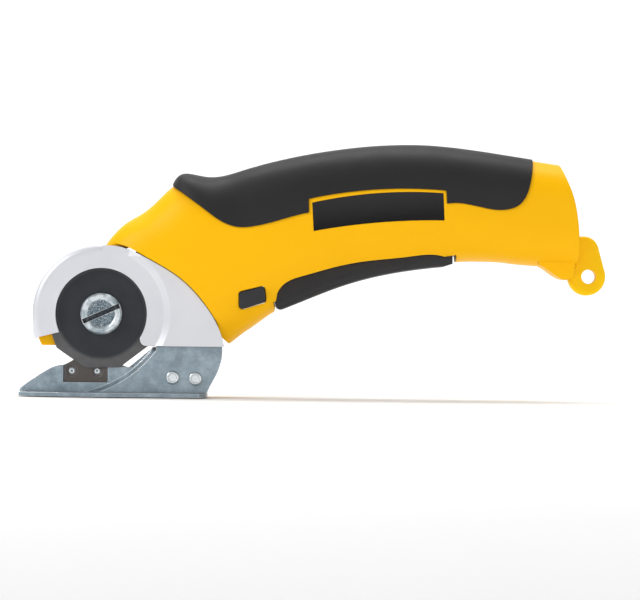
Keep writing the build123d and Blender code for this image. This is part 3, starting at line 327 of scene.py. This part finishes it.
def gloss_plate(name):
    """Blank gloss plate: near black, with a painted sheen that makes it a touch lighter towards its top."""
    material, tree, shader = new_material(name)
    place = object_place(tree)
    split = tree.nodes.new("ShaderNodeSeparateXYZ")
    tree.links.new(place, split.inputs[0])
    up = tree.nodes.new("ShaderNodeMapRange")
    up.inputs["From Min"].default_value = 0.074
    up.inputs["From Max"].default_value = 0.091
    tree.links.new(split.outputs["Z"], up.inputs["Value"])
    # Painted sheen: the colour ramps lighter towards the top of the plate.
    colour = ramp(tree, up.outputs["Result"], [(0.0, (0.003, 0.003, 0.003)), (1.0, (0.014, 0.014, 0.015))])
    tree.links.new(colour, shader.inputs["Base Color"])
    tree.links.new(spread(tree, noise(tree, place, 80.0, 3.0), 0.14, 0.24), shader.inputs["Roughness"])
    shader.inputs["Specular IOR Level"].default_value = 0.16
    bump(tree, shader, noise(tree, place, 500.0, 2.0), 0.05, 0.00003)
    return material


axis_z = next(j for j in frame["record"]["behaviour"]["joints"] if j["name"] == "blade_spin")["pos_m"][2]
MATERIALS = {
    "shell_yellow": plastic("shell_yellow", (0.89, 0.455, 0.0), (0.94, 0.49, 0.0), (0.98, 0.56, 0.008),
                            (0.38, 0.48), coat=0.0, recess_shade_and_seam=(0.25, 0.10, 0.0), seam=0.00018, specular=0.13),
    # The loop's yellow is painted lighter than the shell's, a painted highlight that makes up for the shade the loop
    # sits in.
    "loop_yellow": plastic("loop_yellow", (0.97, 0.56, 0.0), (1.0, 0.60, 0.0), (1.0, 0.66, 0.02),
                           (0.34, 0.42), coat=0.0, recess_shade_and_seam=(0.5, 0.26, 0.0), specular=0.14),
    "grip_rubber": rubber("grip_rubber"),
    "plate_black": gloss_plate("plate_black"),
    "control_black": plastic("control_black", (0.018, 0.018, 0.02), (0.03, 0.03, 0.033), (0.09, 0.09, 0.1),
                             (0.36, 0.48), coat=0.0, specular=0.25),
    "cover_silver": metal("cover_silver", (0.59, 0.60, 0.64), (0.69, 0.70, 0.735), 0.3, (0.34, 0.46), 2200.0,
                          edge=(0.88, 0.88, 0.9)),
    "shoe_zinc": galvanised("shoe_zinc"),
    "blade_steel": blade_steel("blade_steel", axis_z, 0.0198),
    "carbide": metal("carbide", (0.07, 0.06, 0.056), (0.11, 0.098, 0.09), 0.5, (0.4, 0.55), 900.0,
                     edge=(0.3, 0.28, 0.27)),
    "clamp_screw": clamp_screw("clamp_screw", axis_z, 0.0062),
    "bright_screw": metal("bright_screw", (0.55, 0.6, 0.63), (0.75, 0.8, 0.83), 0.9, (0.2, 0.42), 700.0),
    "black_screw": metal("black_screw", (0.02, 0.02, 0.02), (0.05, 0.05, 0.05), 0.7, (0.3, 0.5), 700.0,
                         edge=(0.2, 0.2, 0.2)),
    "bronze": metal("bronze", (0.42, 0.26, 0.12), (0.55, 0.36, 0.18), 0.9, (0.3, 0.5), 600.0, edge=(0.8, 0.6, 0.4)),
    "gear_steel": metal("gear_steel", (0.38, 0.38, 0.4), (0.5, 0.5, 0.52), 0.95, (0.25, 0.4), 900.0),
    "gear_nylon": plastic("gear_nylon", (0.75, 0.74, 0.68), (0.82, 0.81, 0.76), (0.92, 0.92, 0.88)),
    "motor_steel": metal("motor_steel", (0.42, 0.42, 0.42), (0.55, 0.55, 0.55), 0.95, (0.25, 0.42), 500.0,
                         (1.0, 1.0, 8.0)),
    "magnet": metal("magnet", (0.04, 0.04, 0.042), (0.07, 0.07, 0.075), 0.3, (0.5, 0.7), 800.0, edge=(0.2, 0.2, 0.2)),
    "copper_rotor": metal("copper_rotor", (0.45, 0.18, 0.07), (0.6, 0.27, 0.11), 0.9, (0.25, 0.4), 1500.0,
                          (1.0, 6.0, 1.0), edge=(0.9, 0.6, 0.4)),
    "cell_wrap": plastic("cell_wrap", (0.03, 0.22, 0.12), (0.04, 0.27, 0.15), (0.2, 0.4, 0.3)),
    "nickel": metal("nickel", (0.5, 0.48, 0.42), (0.62, 0.6, 0.54), 0.95, (0.25, 0.4), 900.0),
    "board_green": plastic("board_green", (0.01, 0.13, 0.04), (0.015, 0.17, 0.06), (0.1, 0.3, 0.2)),
}

# ---------------------------------------------------------------- CAD nodes

slots = {entry["node"]: entry["material_slot"] for entry in frame["record"]["subparts"]}
special = {"blade_screw": "clamp_screw"}
for node_name, node_object in frame["nodes"].items():
    finish = special.get(node_name, slots[node_name])
    node_object.data.materials.clear()
    node_object.data.materials.append(MATERIALS[finish])

# ---------------------------------------------------------------- studio

def backdrop():
    """Pale floor that curves up into a wall behind the tool."""
    verts = []
    faces = []
    start = 0.25
    radius = 1.6
    profile = [(-3.0, 0.0), (start, 0.0)]
    for step in range(1, 25):
        angle = math.pi / 2 * step / 24
        profile.append((start + radius * math.sin(angle), radius - radius * math.cos(angle)))
    profile.append((start + radius, 4.0))
    for y, z in profile:
        verts += [(-4.0, y, z - 0.0004), (4.5, y, z - 0.0004)]
    for index in range(len(profile) - 1):
        base = 2 * index
        faces.append((base, base + 1, base + 3, base + 2))
    mesh = bpy.data.meshes.new("studio_floor")
    mesh.from_pydata(verts, [], faces)
    floor = bpy.data.objects.new("studio_floor", mesh)
    bpy.context.collection.objects.link(floor)
    mesh.shade_smooth()
    material, tree, shader = new_material("studio_paper")
    place = object_place(tree)
    colour = mixed(tree, noise(tree, place, 3.0, 2.0), (0.90, 0.90, 0.90), (0.92, 0.92, 0.92))
    tree.links.new(colour, shader.inputs["Base Color"])
    shader.inputs["Roughness"].default_value = 0.9
    mesh.materials.append(material)
    return floor


def area_light(name, place, target, size, power, colour=(1.0, 1.0, 1.0)):
    """Soft square light aimed at a point."""
    light = bpy.data.lights.new(name, "AREA")
    light.shape = "RECTANGLE"
    light.size = size[0]
    light.size_y = size[1]
    light.energy = power
    light.color = colour
    lamp = bpy.data.objects.new(name, light)
    lamp.location = place
    direction = Vector(target) - Vector(place)
    lamp.rotation_euler = direction.to_track_quat("-Z", "Y").to_euler()
    bpy.context.collection.objects.link(lamp)
    return lamp


low, high = cad_box
middle = (Vector(low) + Vector(high)) / 2
backdrop()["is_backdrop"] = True
area_light("key", (-0.85, -0.6, 0.65), middle, (0.4, 0.4), 7.4)
area_light("fill", (0.9, -0.9, 0.2), middle, (0.7, 0.7), 2.5)
area_light("top", (0.15, 0.1, 0.9), middle, (0.9, 0.3), 4.0)
area_light("front", (0.1, -1.4, 0.3), middle, (0.6, 0.4), 1.2)
area_light("wall", (0.1, 0.6, 1.8), (0.1, 1.6, 0.3), (3.0, 1.0), 28.0)
bpy.context.scene.view_settings.view_transform = "Standard"

world = bpy.data.worlds.new("studio_world")
world.use_nodes = True
world.node_tree.nodes["Background"].inputs["Color"].default_value = (1.0, 1.0, 1.0, 1.0)
world.node_tree.nodes["Background"].inputs["Strength"].default_value = 0.3
bpy.context.scene.world = world

# The view is square to the side of the tool, level, and very slightly rolled.
camera_data = bpy.data.cameras.new("photo_camera")
camera_data.lens = 150.0
camera_data.sensor_width = 36.0
camera_data.clip_start = 0.05
camera = bpy.data.objects.new("photo_camera", camera_data)
frame_width = 0.2816
distance = frame_width * camera_data.lens / camera_data.sensor_width
camera.location = (0.0964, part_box("head_cover")[0][1] - distance, 0.0436)
camera.rotation_euler = (math.pi / 2, math.radians(-0.64), 0.0)
bpy.context.collection.objects.link(camera)
bpy.context.scene.camera = camera

new_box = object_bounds()
{"cad": plain(cad_box), "visual": plain(new_box)}
